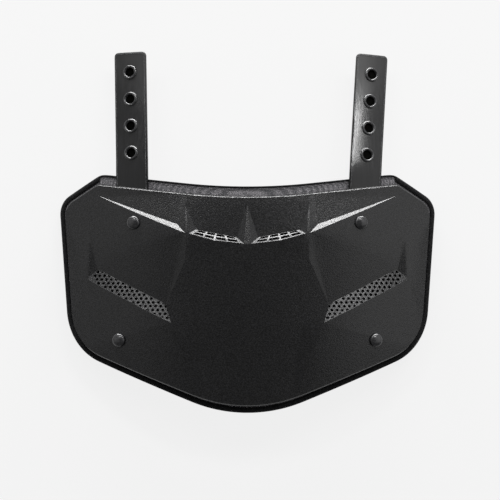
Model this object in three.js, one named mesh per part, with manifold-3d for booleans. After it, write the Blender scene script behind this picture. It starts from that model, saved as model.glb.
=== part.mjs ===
import * as THREE from 'three';
import { mergeVertices } from 'three/addons/utils/BufferGeometryUtils.js';
import Module from 'manifold-3d';

const wasm = await Module();
wasm.setup();

// Sizes in millimetres. Across is measured along the curve of the back.
const backRadius = 330;
const plateHalfWidth = 173;
const plateHeight = 204.5;
const plateWall = 2.6;
const plateCrown = 9.6;
const padThickness = 9;
const tapeThickness = 1.2;
const tapeWidth = 5.2;
const topBorder = 9.2;
const shoulderBorder = 8;
const sideBorder = 9.8;
const bottomBorder = 6.6;
const strapWidth = 30.6;
const strapThickness = 2.8;
const strapLining = 0.8;
const strapLength = 175;
const leftStrapExtra = 1.8;
const strapCornerRadius = 4;
const strapCentre = 104.2;
const strapLeanLeft = 1.4;
const strapLeanRight = 3.8;
const strapDroop = 8;
const strapDroopRun = 18;
const eyeletPitch = 25.4;
const eyeletFromTip = 19.2;
const eyeletFlange = 13.8;
const eyeletBore = 8.6;
const eyeletLip = 1;
const rivetHead = 12.4;
const rivetDome = 3.2;
const rivetShank = 4.8;
const rivetTail = 11;
const upperRivetAcross = 100.6;
const upperRivetUp = 168.2;
const lowerRivetAcross = 115;
const lowerRivetUp = 58.8;
const ventHole = 3.3;
const ventPitch = 5.3;
const ventRim = 0.5;
const slotBar = 0.9;
const sliceStep = 26;
const tapeStep = 20;

// Clearances in millimetres
const touchGap = 0.3;
const slotGap = 0.6;

// Levels above the back face of the pad, each built on the one below
const tapeFront = padThickness + touchGap + tapeThickness;
const strapBack = tapeFront + touchGap;
const strapFront = strapBack + strapThickness;
const rimBack = padThickness + touchGap;
const strapRoof = strapFront + touchGap * 2;
const rimFace = strapRoof + plateWall;
const farBelow = -tapeThickness * 3;
const farAbove = rimFace + plateCrown * 1.4;

// Corners of one half of the plate outline, as shares of its half width and height,
// with rounding radii as shares of the half width
const plateCorners = [
  { at: 'tip', across: 0, up: -0.057, round: 0.745 },
  { at: 'low', across: 0.938, up: 0.262, round: 0.27 },
  { at: 'side', across: 1, up: 0.9, round: 0.1 },
  { at: 'shoulder', across: 0.797, up: 1, round: 0.06 },
  { at: 'top', across: 0, up: 0.926, round: 2.9 },
];
const padRounds = { tip: 0.78, low: 0.32, side: 0.115, shoulder: 0.1, top: 2.95 };

// Crease points of one half of the plate face: shares of half width, height and crown
const creasePoints = {
  slitTip: { across: 0.792, up: 0.947, rise: 0 },
  slitFloorEnd: { across: 0.356, up: 0.815, rise: 0.38 },
  slitCrestEnd: { across: 0.311, up: 0.776, rise: 0.94 },
  ribTop: { across: 0.317, up: 0.914, rise: 0.1 },
  innerCrestStart: { across: 0.289, up: 0.773, rise: 0.95 },
  innerFloorStart: { across: 0.261, up: 0.79, rise: 0.38 },
  innerCrestMiddle: { across: 0.164, up: 0.742, rise: 0.98 },
  innerFloorEnd: { across: 0.054, up: 0.754, rise: 0.4 },
  innerCrestEnd: { across: 0.017, up: 0.727, rise: 1 },
  centreRibTop: { across: 0, up: 0.902, rise: 0.14 },
  centreCrest: { across: 0, up: 0.724, rise: 1.02 },
  centreUpper: { across: 0, up: 0.465, rise: 0.86 },
  centreLower: { across: 0, up: 0.205, rise: 0.5 },
  outerWallTop: { across: 0.843, up: 0.747, rise: 0.22 },
  panelUpper: { across: 0.302, up: 0.668, rise: 0.82 },
  panelMiddle: { across: 0.276, up: 0.467, rise: 0.64 },
  panelLower: { across: 0.269, up: 0.363, rise: 0.54 },
  panelLow: { across: 0.246, up: 0.205, rise: 0.26 },
  panelEnd: { across: 0.203, up: -0.014, rise: 0 },
  ventFloorOuter: { across: 0.79, up: 0.611, rise: 0.02 },
  ventFloorInner: { across: 0.417, up: 0.454, rise: 0.08 },
  ventEnd: { across: 0.41, up: 0.448, rise: 0.6 },
  ventLipOuter: { across: 0.847, up: 0.566, rise: 0.48 },
  ventLipInner: { across: 0.384, up: 0.37, rise: 0.72 },
  facetMiddle: { across: 0.333, up: 0.252, rise: 0.52 },
  facetEnd: { across: 0.225, up: -0.01, rise: 0 },
};

// Facets of one half, each a loop of crease points or grown outline corners
const plateFacets = [
  ['ribTop', 'slitFloorEnd', 'slitTip', 'shoulder', 'top'],
  ['centreRibTop', 'innerFloorEnd', 'innerFloorStart', 'ribTop', 'top'],
  ['slitTip', 'slitFloorEnd', 'slitCrestEnd'],
  ['ribTop', 'slitCrestEnd', 'slitFloorEnd'],
  ['ribTop', 'innerCrestStart', 'slitCrestEnd'],
  ['ribTop', 'innerFloorStart', 'innerCrestStart'],
  ['innerFloorStart', 'innerFloorEnd', 'innerCrestMiddle'],
  ['innerFloorStart', 'innerCrestMiddle', 'innerCrestStart'],
  ['innerFloorEnd', 'innerCrestEnd', 'innerCrestMiddle'],
  ['centreRibTop', 'innerCrestEnd', 'innerFloorEnd'],
  ['centreRibTop', 'centreCrest', 'innerCrestEnd'],
  ['slitTip', 'outerWallTop', 'side', 'shoulder'],
  ['slitTip', 'slitCrestEnd', 'outerWallTop'],
  ['slitCrestEnd', 'ventFloorOuter', 'outerWallTop'],
  ['slitCrestEnd', 'ventFloorInner', 'ventFloorOuter'],
  ['slitCrestEnd', 'panelUpper', 'ventFloorInner'],
  ['slitCrestEnd', 'innerCrestStart', 'panelUpper'],
  ['outerWallTop', 'ventFloorOuter', 'ventLipOuter'],
  ['outerWallTop', 'ventLipOuter', 'low', 'side'],
  ['ventFloorOuter', 'ventFloorInner', 'ventLipInner', 'ventLipOuter'],
  ['ventFloorInner', 'ventEnd', 'ventLipInner'],
  ['panelUpper', 'panelMiddle', 'ventEnd'],
  ['panelUpper', 'ventEnd', 'ventFloorInner'],
  ['panelMiddle', 'panelLower', 'ventLipInner', 'ventEnd'],
  ['panelLower', 'panelLow', 'facetMiddle', 'ventLipInner'],
  ['panelLow', 'panelEnd', 'facetEnd', 'facetMiddle'],
  ['ventLipOuter', 'ventLipInner', 'low'],
  ['ventLipInner', 'facetMiddle', 'low'],
  ['facetMiddle', 'facetEnd', 'low'],
  ['centreCrest', 'centreUpper', 'panelUpper', 'innerCrestStart', 'innerCrestMiddle', 'innerCrestEnd'],
  ['centreUpper', 'centreLower', 'panelLower', 'panelMiddle', 'panelUpper'],
  ['centreLower', 'tip', 'panelEnd', 'panelLow', 'panelLower'],
];

// Outlines in the unrolled plane
function wholeOutline(half) {
  const right = half.map((corner) => ({ ...corner }));
  const left = half.slice(1, -1).reverse().map((corner) => ({ ...corner, u: -corner.u }));
  return [...right, ...left];
}

function cornersInPlane(rounds, shift) {
  const half = plateCorners.map((corner) => ({
    u: corner.across * plateHalfWidth,
    v: corner.up * plateHeight,
    radius: (rounds ? rounds[corner.at] : corner.round) * plateHalfWidth,
  }));
  const borders = [shift.bottom, shift.side, shift.shoulder, shift.top];
  const loop = wholeOutline(half);
  const edgeBorders = [...borders, ...borders.slice().reverse()];
  return moveEdges(loop, edgeBorders);
}

function moveEdges(loop, borders) {
  const count = loop.length;
  const edges = loop.map((corner, index) => {
    const next = loop[(index + 1) % count];
    const du = next.u - corner.u;
    const dv = next.v - corner.v;
    const length = Math.hypot(du, dv);
    const normal = { u: dv / length, v: -du / length };
    return { normal, reach: normal.u * corner.u + normal.v * corner.v + borders[index] };
  });
  return loop.map((corner, index) => {
    const before = edges[(index + count - 1) % count];
    const after = edges[index];
    const cross = before.normal.u * after.normal.v - before.normal.v * after.normal.u;
    const u = (before.reach * after.normal.v - after.reach * before.normal.v) / cross;
    const v = (before.normal.u * after.reach - after.normal.u * before.reach) / cross;
    return { u, v, radius: corner.radius };
  });
}

function roundLoop(corners, chordError = 0.5) {
  const points = [];
  const count = corners.length;
  for (let index = 0; index < count; index += 1) {
    const corner = new THREE.Vector2(corners[index].u, corners[index].v);
    const before = corners[(index + count - 1) % count];
    const after = corners[(index + 1) % count];
    const inward = corner.clone().sub(new THREE.Vector2(before.u, before.v)).normalize();
    const outward = new THREE.Vector2(after.u, after.v).sub(corner).normalize();
    const turn = Math.asin(THREE.MathUtils.clamp(inward.cross(outward), -1, 1));
    const sharp = inward.dot(outward) < 0 ? Math.sign(turn) * Math.PI - turn : turn;
    const radius = corners[index].radius;
    const tangent = radius * Math.tan(Math.abs(sharp) / 2);
    const start = corner.clone().addScaledVector(inward, -tangent);
    const side = Math.sign(sharp);
    const centre = start.clone().add(new THREE.Vector2(-inward.y, inward.x).multiplyScalar(radius * side));
    const steps = Math.max(2, Math.ceil(Math.abs(sharp) / (2 * Math.acos(1 - chordError / radius))));
    for (let step = 0; step <= steps; step += 1) {
      const point = start.clone().rotateAround(centre, (sharp * step) / steps);
      points.push({ u: point.x, v: point.y });
    }
  }
  return points;
}

function steppedLoop(loop, step) {
  return loop.flatMap((point, index) => {
    const after = loop[(index + 1) % loop.length];
    const parts = Math.max(1, Math.ceil(Math.abs(after.u - point.u) / step));
    return Array.from({ length: parts }, (_, part) => ({
      u: point.u + ((after.u - point.u) * part) / parts,
      v: point.v + ((after.v - point.v) * part) / parts,
    }));
  });
}

function insetLoop(loop, inset) {
  const count = loop.length;
  return loop.map((point, index) => {
    const before = loop[(index + count - 1) % count];
    const after = loop[(index + 1) % count];
    const first = new THREE.Vector2(point.u - before.u, point.v - before.v).normalize();
    const second = new THREE.Vector2(after.u - point.u, after.v - point.v).normalize();
    const normal = new THREE.Vector2(-first.y - second.y, first.x + second.x).normalize();
    const reach = inset / Math.max(0.5, normal.dot(new THREE.Vector2(-first.y, first.x)));
    return { u: point.u + normal.x * reach, v: point.v + normal.y * reach };
  });
}

// Solids are kept as plain vertex and triangle lists until they are bent
function signedVolume(solid) {
  let total = 0;
  const [a, b, c] = [new THREE.Vector3(), new THREE.Vector3(), new THREE.Vector3()];
  for (const [i, j, k] of solid.faces) {
    a.fromArray(solid.points[i]);
    b.fromArray(solid.points[j]);
    c.fromArray(solid.points[k]);
    total += a.dot(b.cross(c)) / 6;
  }
  return total;
}

function facingOut(solid) {
  if (signedVolume(solid) >= 0) {
    return solid;
  }
  return { points: solid.points, faces: solid.faces.map(([i, j, k]) => [i, k, j]) };
}

function capFaces(loop) {
  const contour = loop.map((point) => new THREE.Vector2(point.u, point.v));
  return THREE.ShapeUtils.triangulateShape(contour, []);
}

// A body that is a stack of closed rings with a cap at each end
function stackedRings(stack) {
  const turn = THREE.ShapeUtils.area(stack[0].map(([u, v]) => new THREE.Vector2(u, v)));
  const rings = turn > 0 ? stack : stack.map((ring) => ring.slice().reverse());
  const size = rings[0].length;
  const points = rings.flat();
  const faces = [];
  for (let level = 0; level < rings.length - 1; level += 1) {
    for (let step = 0; step < size; step += 1) {
      const next = (step + 1) % size;
      const low = level * size;
      const high = low + size;
      faces.push([low + step, low + next, high + next]);
      faces.push([low + step, high + next, high + step]);
    }
  }
  const cap = capFaces(rings[0].map(([u, v]) => ({ u, v })));
  const last = (rings.length - 1) * size;
  for (const [i, j, k] of cap) {
    faces.push([i, k, j]);
    faces.push([last + i, last + j, last + k]);
  }
  return facingOut({ points, faces });
}

function loopPrism(loop, low, high) {
  return stackedRings([low, high].map((level) => loop.map((point) => [point.u, point.v, level])));
}

function rectanglePrism(halfAcross, reach, low, high) {
  const corners = [
    [-halfAcross, -reach],
    [halfAcross, -reach],
    [halfAcross, reach * 2],
    [-halfAcross, reach * 2],
  ];
  return loopPrism(corners.map(([u, v]) => ({ u, v })), low, high);
}

// A band that follows a loop with the same closed cross-section all the way round
function sweptBand(loop, section) {
  const rings = section.map(({ inset, level }) =>
    insetLoop(loop, inset).map((point) => [point.u, point.v, level]));
  const size = loop.length;
  const faces = [];
  for (let side = 0; side < rings.length; side += 1) {
    const other = (side + 1) % rings.length;
    for (let step = 0; step < size; step += 1) {
      const next = (step + 1) % size;
      faces.push([side * size + step, side * size + next, other * size + next]);
      faces.push([side * size + step, other * size + next, other * size + step]);
    }
  }
  return facingOut({ points: rings.flat(), faces });
}

function discPrism(u, v, radius, low, high, sides = 10) {
  const loop = [];
  const corner = radius / Math.cos(Math.PI / Math.max(sides, 8));
  for (let step = 0; step < sides; step += 1) {
    const angle = ((step + 0.5) / sides) * Math.PI * 2;
    loop.push({ u: u + corner * Math.cos(angle), v: v + corner * Math.sin(angle) });
  }
  return loopPrism(loop, low, high);
}

function toManifold(solid) {
  const vertProperties = new Float32Array(solid.points.flat());
  const triVerts = new Uint32Array(solid.faces.flat());
  return new wasm.Manifold(new wasm.Mesh({ numProp: 3, vertProperties, triVerts }));
}

function fromManifold(manifold) {
  const mesh = manifold.getMesh();
  const points = [];
  for (let index = 0; index < mesh.vertProperties.length; index += mesh.numProp) {
    points.push(Array.from(mesh.vertProperties.slice(index, index + 3)));
  }
  const faces = [];
  for (let index = 0; index < mesh.triVerts.length; index += 3) {
    faces.push(Array.from(mesh.triVerts.slice(index, index + 3)));
  }
  return { points, faces };
}

// Faces are split along lines of equal value so that they can follow a curve
function splitAt(solid, axis, value) {
  const near = 0.03;
  const points = solid.points.slice();
  const cutEdges = new Map();
  const sideOf = (index) => {
    const distance = points[index][axis] - value;
    return Math.abs(distance) < near ? 0 : Math.sign(distance);
  };
  const cutPoint = (first, second) => {
    const low = Math.min(first, second);
    const high = Math.max(first, second);
    const key = `${low}/${high}`;
    if (!cutEdges.has(key)) {
      const a = points[low];
      const b = points[high];
      const share = (value - a[axis]) / (b[axis] - a[axis]);
      cutEdges.set(key, points.length);
      points.push(a.map((entry, index) => entry + (b[index] - entry) * share));
    }
    return cutEdges.get(key);
  };
  const faces = [];
  for (const face of solid.faces) {
    const sides = face.map(sideOf);
    if (!(sides.includes(1) && sides.includes(-1))) {
      faces.push(face);
      continue;
    }
    if (sides.includes(0)) {
      const turn = sides.indexOf(0);
      const [a, b, c] = [face[turn], face[(turn + 1) % 3], face[(turn + 2) % 3]];
      const middle = cutPoint(b, c);
      faces.push([a, b, middle], [a, middle, c]);
      continue;
    }
    const lone = sides.findIndex((side) => sides.filter((other) => other === side).length === 1);
    const [a, b, c] = [face[lone], face[(lone + 1) % 3], face[(lone + 2) % 3]];
    const toB = cutPoint(a, b);
    const toC = cutPoint(a, c);
    faces.push([a, toB, toC], [toB, b, c], [toB, c, toC]);
  }
  return { points, faces };
}

function splitAcross(solid, step) {
  const reach = Math.max(...solid.points.map((point) => Math.abs(point[0])));
  let result = solid;
  for (let value = 0; value < reach; value += step) {
    result = splitAt(result, 0, value);
    if (value > 0) {
      result = splitAt(result, 0, -value);
    }
  }
  return result;
}

// The unrolled plane is rolled onto a cylinder whose axis runs along Y
function rollPoint([u, v, w]) {
  const angle = u / backRadius;
  const radius = backRadius + w;
  return [radius * Math.sin(angle), v, radius * Math.cos(angle) - backRadius];
}

function geometryFrom(solid) {
  const geometry = new THREE.BufferGeometry();
  geometry.setAttribute('position', new THREE.Float32BufferAttribute(solid.points.flat(), 3));
  geometry.setIndex(solid.faces.flat());
  return geometry;
}

function bent(solid) {
  return { points: solid.points.map(rollPoint), faces: solid.faces };
}

function rolled(solid, step = sliceStep) {
  return bent(splitAcross(solid, step));
}

function cutRolled(manifold, solids) {
  let result = manifold;
  for (const solid of solids) {
    result = result.subtract(toManifold(rolled(solid)));
  }
  return result;
}

const group = new THREE.Group();
group.name = 'football_back_plate';

function addPiece(name, geometry, look) {
  const material = new THREE.MeshStandardMaterial(look);
  const mesh = new THREE.Mesh(geometry, material);
  mesh.name = name;
  group.add(mesh);
}

const blackPlastic = { color: 0x1d1e20, roughness: 0.42, metalness: 0 };
const greyMesh = { color: 0x5a5b5d, roughness: 0.95, metalness: 0 };
const blackTape = { color: 0x202022, roughness: 0.8, metalness: 0 };
const blackLeather = { color: 0x17181a, roughness: 0.5, metalness: 0 };
const blackMetal = { color: 0x141518, roughness: 0.25, metalness: 0.6 };

// Face heights of the plate
const grownCorners = cornersInPlane(null, { bottom: 6, side: 6, shoulder: 6, top: 6 });
const cornerNames = plateCorners.map((corner) => corner.at);
const facePoints = new Map();
for (const [name, point] of Object.entries(creasePoints)) {
  facePoints.set(name, [
    point.across * plateHalfWidth,
    point.up * plateHeight,
    rimFace + point.rise * plateCrown,
  ]);
}
cornerNames.forEach((name, index) => {
  facePoints.set(name, [grownCorners[index].u, grownCorners[index].v, rimFace]);
});

function halfTriangles() {
  const triangles = [];
  for (const facet of plateFacets) {
    const corners = facet.map((name) => facePoints.get(name));
    const order = THREE.ShapeUtils.triangulateShape(corners.map(([u, v]) => new THREE.Vector2(u, v)), []);
    for (const [i, j, k] of order) {
      const [a, b, c] = [corners[i], corners[j], corners[k]];
      const area = (b[0] - a[0]) * (c[1] - a[1]) - (b[1] - a[1]) * (c[0] - a[0]);
      triangles.push(area > 0 ? [a, b, c] : [a, c, b]);
    }
  }
  return triangles;
}

const rightTriangles = halfTriangles();
const leftTriangles = rightTriangles.map(([a, b, c]) => [a, c, b].map(([u, v, w]) => [-u, v, w]));
const faceTriangles = [...rightTriangles, ...leftTriangles];

function faceHeight(u, v) {
  for (const [a, b, c] of faceTriangles) {
    const area = (b[0] - a[0]) * (c[1] - a[1]) - (b[1] - a[1]) * (c[0] - a[0]);
    const shareB = ((u - a[0]) * (c[1] - a[1]) - (v - a[1]) * (c[0] - a[0])) / area;
    const shareC = ((b[0] - a[0]) * (v - a[1]) - (b[1] - a[1]) * (u - a[0])) / area;
    if (shareB >= -1e-6 && shareC >= -1e-6 && shareB + shareC <= 1 + 1e-6) {
      return a[2] + (b[2] - a[2]) * shareB + (c[2] - a[2]) * shareC;
    }
  }
  return rimFace;
}

// A column solid from a flat bottom up to the facets, lowered by a given drop
function facetColumns(drop, bottom) {
  const points = [];
  const seen = new Map();
  const vertex = ([u, v, w]) => {
    const key = [u, v, w].map((entry) => Math.round(entry * 1e4)).join('/');
    if (!seen.has(key)) {
      seen.set(key, points.length);
      points.push([u, v, w]);
    }
    return seen.get(key);
  };
  const faces = [];
  const edges = new Map();
  for (const triangle of faceTriangles) {
    const top = triangle.map(([u, v, w]) => vertex([u, v, w - drop]));
    const base = triangle.map(([u, v]) => vertex([u, v, bottom]));
    faces.push(top, [base[0], base[2], base[1]]);
    for (let side = 0; side < 3; side += 1) {
      const next = (side + 1) % 3;
      const key = `${top[next]}/${top[side]}`;
      if (edges.has(key)) {
        edges.delete(key);
      } else {
        edges.set(`${top[side]}/${top[next]}`, [top[side], top[next], base[side], base[next]]);
      }
    }
  }
  for (const [topA, topB, baseA, baseB] of edges.values()) {
    faces.push([topA, baseA, baseB], [topA, baseB, topB]);
  }
  return facingOut({ points, faces });
}

// Vent openings in the flank ledges and slots in the two inner ledges
function quadPrism(corners) {
  return loopPrism(corners.map(([u, v]) => ({ u, v })), farBelow, farAbove);
}

function mix(a, b, share) {
  return a.map((entry, index) => entry + (b[index] - entry) * share);
}

function innerSlots(side) {
  const at = (name) => facePoints.get(name);
  const lower = (share) => (share < 0.5
    ? mix(at('innerCrestStart'), at('innerCrestMiddle'), share * 2)
    : mix(at('innerCrestMiddle'), at('innerCrestEnd'), share * 2 - 1));
  const upper = (share) => mix(at('innerFloorStart'), at('innerFloorEnd'), share);
  const rows = [{ from: 0.13, to: 0.5 }, { from: 0.63, to: 0.93 }];
  const columns = 4;
  const length = at('innerCrestStart')[0] - at('innerCrestEnd')[0];
  const barShare = slotBar / length;
  const solids = [];
  for (const row of rows) {
    for (let column = 0; column < columns; column += 1) {
      const start = 0.05 + (0.9 * column) / columns + barShare;
      const end = 0.05 + (0.9 * (column + 1)) / columns - barShare;
      const corners = [[start, row.from], [end, row.from], [end, row.to], [start, row.to]]
        .map(([along, over]) => mix(lower(along), upper(along), over))
        .map(([u, v]) => [u * side, v]);
      solids.push(quadPrism(corners));
    }
  }
  return solids;
}

function insideLoop(loop, u, v, margin) {
  return loop.every((point, index) => {
    const next = loop[(index + 1) % loop.length];
    const length = Math.hypot(next[0] - point[0], next[1] - point[1]);
    const cross = (next[0] - point[0]) * (v - point[1]) - (next[1] - point[1]) * (u - point[0]);
    return cross / length >= margin;
  });
}

function flankHoles(side) {
  const loop = ['ventFloorOuter', 'ventLipOuter', 'ventLipInner', 'ventEnd', 'ventFloorInner']
    .map((name) => facePoints.get(name));
  const orient = THREE.ShapeUtils.area(loop.map(([u, v]) => new THREE.Vector2(u, v)));
  const ordered = orient > 0 ? loop : loop.slice().reverse();
  const rowStep = ventPitch * 0.82;
  const margin = ventHole * 0.35 + ventRim;
  const solids = [];
  const lowest = facePoints.get('ventLipInner');
  const rows = Math.ceil((facePoints.get('ventFloorOuter')[1] - lowest[1]) / rowStep);
  const columns = Math.ceil((facePoints.get('ventLipOuter')[0] - lowest[0]) / ventPitch);
  for (let row = 0; row <= rows; row += 1) {
    for (let column = 0; column <= columns; column += 1) {
      const u = lowest[0] + (column + (row % 2) / 2) * ventPitch;
      const v = lowest[1] + row * rowStep;
      if (insideLoop(ordered, u, v, margin)) {
        solids.push(discPrism(u * side, v, ventHole / 2, farBelow, farAbove, 4));
      }
    }
  }
  return solids;
}

// Straps stand between the plate and the pad, leaning a little outward
const strapFrames = [
  { name: 'left', side: -1, lean: strapLeanLeft, length: strapLength + leftStrapExtra },
  { name: 'right', side: 1, lean: strapLeanRight, length: strapLength },
];
const strapOverlap = rivetHead * 1.3;
const drillRadius = rivetShank / 2 + touchGap;

function strapPoint(frame, across, along) {
  const angle = THREE.MathUtils.degToRad(frame.lean);
  const base = { u: strapCentre, v: upperRivetUp - strapOverlap };
  const u = base.u + along * Math.sin(angle) + across * Math.cos(angle);
  const v = base.v + along * Math.cos(angle) - across * Math.sin(angle);
  return { u: frame.side * u, v };
}

function strapLoop(frame, grow) {
  const half = strapWidth / 2 + grow;
  const radius = strapCornerRadius;
  const corners = [[-half, -grow], [half, -grow], [half, frame.length], [-half, frame.length]]
    .map(([across, along]) => ({ ...strapPoint(frame, across, along), radius }));
  const area = THREE.ShapeUtils.area(corners.map((corner) => new THREE.Vector2(corner.u, corner.v)));
  return roundLoop(area > 0 ? corners : corners.slice().reverse(), 0.2);
}

function strapSlab(frame) {
  const reach = strapWidth * 0.6;
  const corners = [
    [-reach, -reach],
    [reach, -reach],
    [reach, frame.length + reach],
    [-reach, frame.length + reach],
  ];
  const loop = corners.map(([across, along]) => ({
    u: frame.side * (strapCentre + across + along * Math.sin(THREE.MathUtils.degToRad(frame.lean))),
    v: upperRivetUp - strapOverlap + along,
  }));
  return loopPrism(loop, strapBack, strapFront);
}

const padTopAtStrap = plateHeight * 0.982 + topBorder;
const droopStart = padTopAtStrap + touchGap * 4;
const droopSlope = Math.tan(THREE.MathUtils.degToRad(strapDroop));

const noDroop = { drop: 0, slope: 0 };

function droopAt(v) {
  const past = v - droopStart;
  if (past <= 0) {
    return noDroop;
  }
  if (past < strapDroopRun) {
    const slope = (droopSlope * past) / strapDroopRun;
    return { drop: (slope * past) / 2, slope };
  }
  return { drop: droopSlope * (past - strapDroopRun / 2), slope: droopSlope };
}

function eyeletAlong(frame, index) {
  return frame.length - eyeletFromTip - eyeletPitch * index;
}

const eyeletCount = 4;
const barrelOuter = eyeletBore / 2 + eyeletLip * 0.8;
const pocketDepth = strapThickness - strapLining;

// A turned piece is placed with its axis along the local outward direction
function placeTurned(profile, sides, u, v, w, droop) {
  const angle = u / backRadius;
  const [x, y, z] = rollPoint([u, v, w]);
  const across = new THREE.Vector3(Math.cos(angle), 0, -Math.sin(angle));
  const outward = across.clone().cross(new THREE.Vector3(0, 1, -droop.slope)).normalize();
  const basis = new THREE.Matrix4().makeBasis(across, outward, across.clone().cross(outward));
  basis.setPosition(x, y, z - droop.drop);
  const outline = profile.map(([radius, height]) => new THREE.Vector2(radius, height));
  const placed = new THREE.LatheGeometry(outline, sides).applyMatrix4(basis);
  placed.deleteAttribute('normal');
  placed.deleteAttribute('uv');
  return listsOf(mergeVertices(placed, 1e-4));
}

function listsOf(geometry) {
  const position = geometry.getAttribute('position');
  const points = [];
  for (let index = 0; index < position.count; index += 1) {
    points.push([position.getX(index), position.getY(index), position.getZ(index)]);
  }
  const faces = [];
  for (let index = 0; index < geometry.index.count; index += 3) {
    const face = Array.from(geometry.index.array.slice(index, index + 3));
    if (new Set(face).size === 3) {
      faces.push(face);
    }
  }
  return facingOut({ points, faces });
}

function eyeletProfile() {
  const bore = eyeletBore / 2;
  const flange = eyeletFlange / 2;
  const top = touchGap + eyeletLip;
  const profile = [
    [bore, touchGap - pocketDepth],
    [barrelOuter, touchGap - pocketDepth],
    [barrelOuter, touchGap],
    [flange, touchGap],
    [flange - eyeletLip * 0.7, top],
    [bore, top],
  ];
  return [...profile, profile[0]];
}

function drooped(solid) {
  const bends = 2;
  let bent = solid;
  for (let step = 0; step <= bends; step += 1) {
    bent = splitAt(bent, 1, droopStart + (strapDroopRun * step) / bends);
  }
  return { points: bent.points.map(([x, y, z]) => [x, y, z - droopAt(y).drop]), faces: bent.faces };
}

for (const frame of strapFrames) {
  const slab = drooped(rolled(strapSlab(frame), sliceStep / 2));
  const edge = drooped(rolled(loopPrism(strapLoop(frame, 0), strapBack - touchGap, strapFront + touchGap)));
  let strap = toManifold(slab).intersect(toManifold(edge));
  for (let index = 0; index < eyeletCount; index += 1) {
    const centre = strapPoint(frame, 0, eyeletAlong(frame, index));
    const radius = (barrelOuter + touchGap) / Math.cos(Math.PI / 10);
    const profile = [
      [0, -pocketDepth],
      [radius, -pocketDepth],
      [radius, strapThickness],
      [0, strapThickness],
    ];
    const punch = placeTurned(profile, 10, centre.u, centre.v, strapFront, droopAt(centre.v));
    strap = strap.subtract(toManifold(punch));
  }
  const drillAcross = frame.side * upperRivetAcross;
  const drill = discPrism(drillAcross, upperRivetUp, drillRadius, farBelow, farAbove, 8);
  strap = cutRolled(strap, [drill]);
  addPiece(`strap_${frame.name}`, geometryFrom(fromManifold(strap)), blackLeather);
}

for (const frame of strapFrames) {
  for (let index = 0; index < eyeletCount; index += 1) {
    const centre = strapPoint(frame, 0, eyeletAlong(frame, index));
    const droop = droopAt(centre.v);
    const ring = placeTurned(eyeletProfile(), 10, centre.u, centre.v, strapFront, droop);
    addPiece(`eyelet_${frame.name}_${index + 1}`, geometryFrom(ring), blackMetal);
  }
}

// Rivets pass through plate, strap and pad, with a flat tail let into the pad
const rivetSpots = [
  { name: 'upper_left', u: -upperRivetAcross, v: upperRivetUp },
  { name: 'upper_right', u: upperRivetAcross, v: upperRivetUp },
  { name: 'lower_left', u: -lowerRivetAcross, v: lowerRivetUp },
  { name: 'lower_right', u: lowerRivetAcross, v: lowerRivetUp },
];
const tailThickness = 1.2;
const seatLift = 0.6;

function seatLevel(spot) {
  let highest = 0;
  for (let step = 0; step < 12; step += 1) {
    const angle = (step / 12) * Math.PI * 2;
    const reach = rivetHead / 2;
    const level = faceHeight(spot.u + reach * Math.cos(angle), spot.v + reach * Math.sin(angle));
    highest = Math.max(highest, level);
  }
  return highest + seatLift * 0.2;
}

for (const spot of rivetSpots) {
  const seat = seatLevel(spot) + touchGap;
  const profile = [
    [0, touchGap],
    [rivetTail / 2, touchGap],
    [rivetTail / 2, touchGap + tailThickness],
    [rivetShank / 2, touchGap + tailThickness],
    [rivetShank / 2, seat],
    [rivetHead / 2, seat],
    [rivetHead / 2, seat + rivetDome * 0.22],
    [rivetHead * 0.42, seat + rivetDome * 0.62],
    [rivetHead * 0.24, seat + rivetDome * 0.91],
    [0, seat + rivetDome],
  ];
  const rivet = placeTurned(profile, 12, spot.u, spot.v, 0, noDroop);
  addPiece(`rivet_${spot.name}`, geometryFrom(rivet), blackMetal);
}

// Pad of foam, drilled for the rivets, with a recess in its back for each flat tail
const padOutline = roundLoop(cornersInPlane(padRounds, {
  bottom: bottomBorder, side: sideBorder, shoulder: shoulderBorder, top: topBorder,
}));
const padInset = tapeThickness + touchGap;
const padEdge = loopPrism(insetLoop(padOutline, padInset), -touchGap, padThickness + touchGap);
const padSlab = rectanglePrism(plateHalfWidth + sideBorder, plateHeight, 0, padThickness);
const padCutters = rivetSpots.flatMap((spot) => [
  discPrism(spot.u, spot.v, drillRadius, farBelow, farAbove, 8),
  discPrism(spot.u, spot.v, rivetTail / 2 + touchGap, farBelow, tailThickness + touchGap * 2),
]);
const padBody = toManifold(rolled(padSlab)).intersect(toManifold(rolled(padEdge)));
addPiece('pad', geometryFrom(fromManifold(cutRolled(padBody, padCutters))), greyMesh);

// Edge tape folded round the rim of the pad
const tapeBack = -touchGap - tapeThickness;
const tapeSection = [
  { inset: tapeWidth, level: tapeBack },
  { inset: 0, level: tapeBack },
  { inset: 0, level: tapeFront },
  { inset: tapeWidth, level: tapeFront },
  { inset: tapeWidth, level: padThickness + touchGap },
  { inset: tapeThickness, level: padThickness + touchGap },
  { inset: tapeThickness, level: -touchGap },
  { inset: tapeWidth, level: -touchGap },
];
const tapeBand = sweptBand(steppedLoop(padOutline, tapeStep), tapeSection);
addPiece('binding', geometryFrom(bent(tapeBand)), blackTape);

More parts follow.
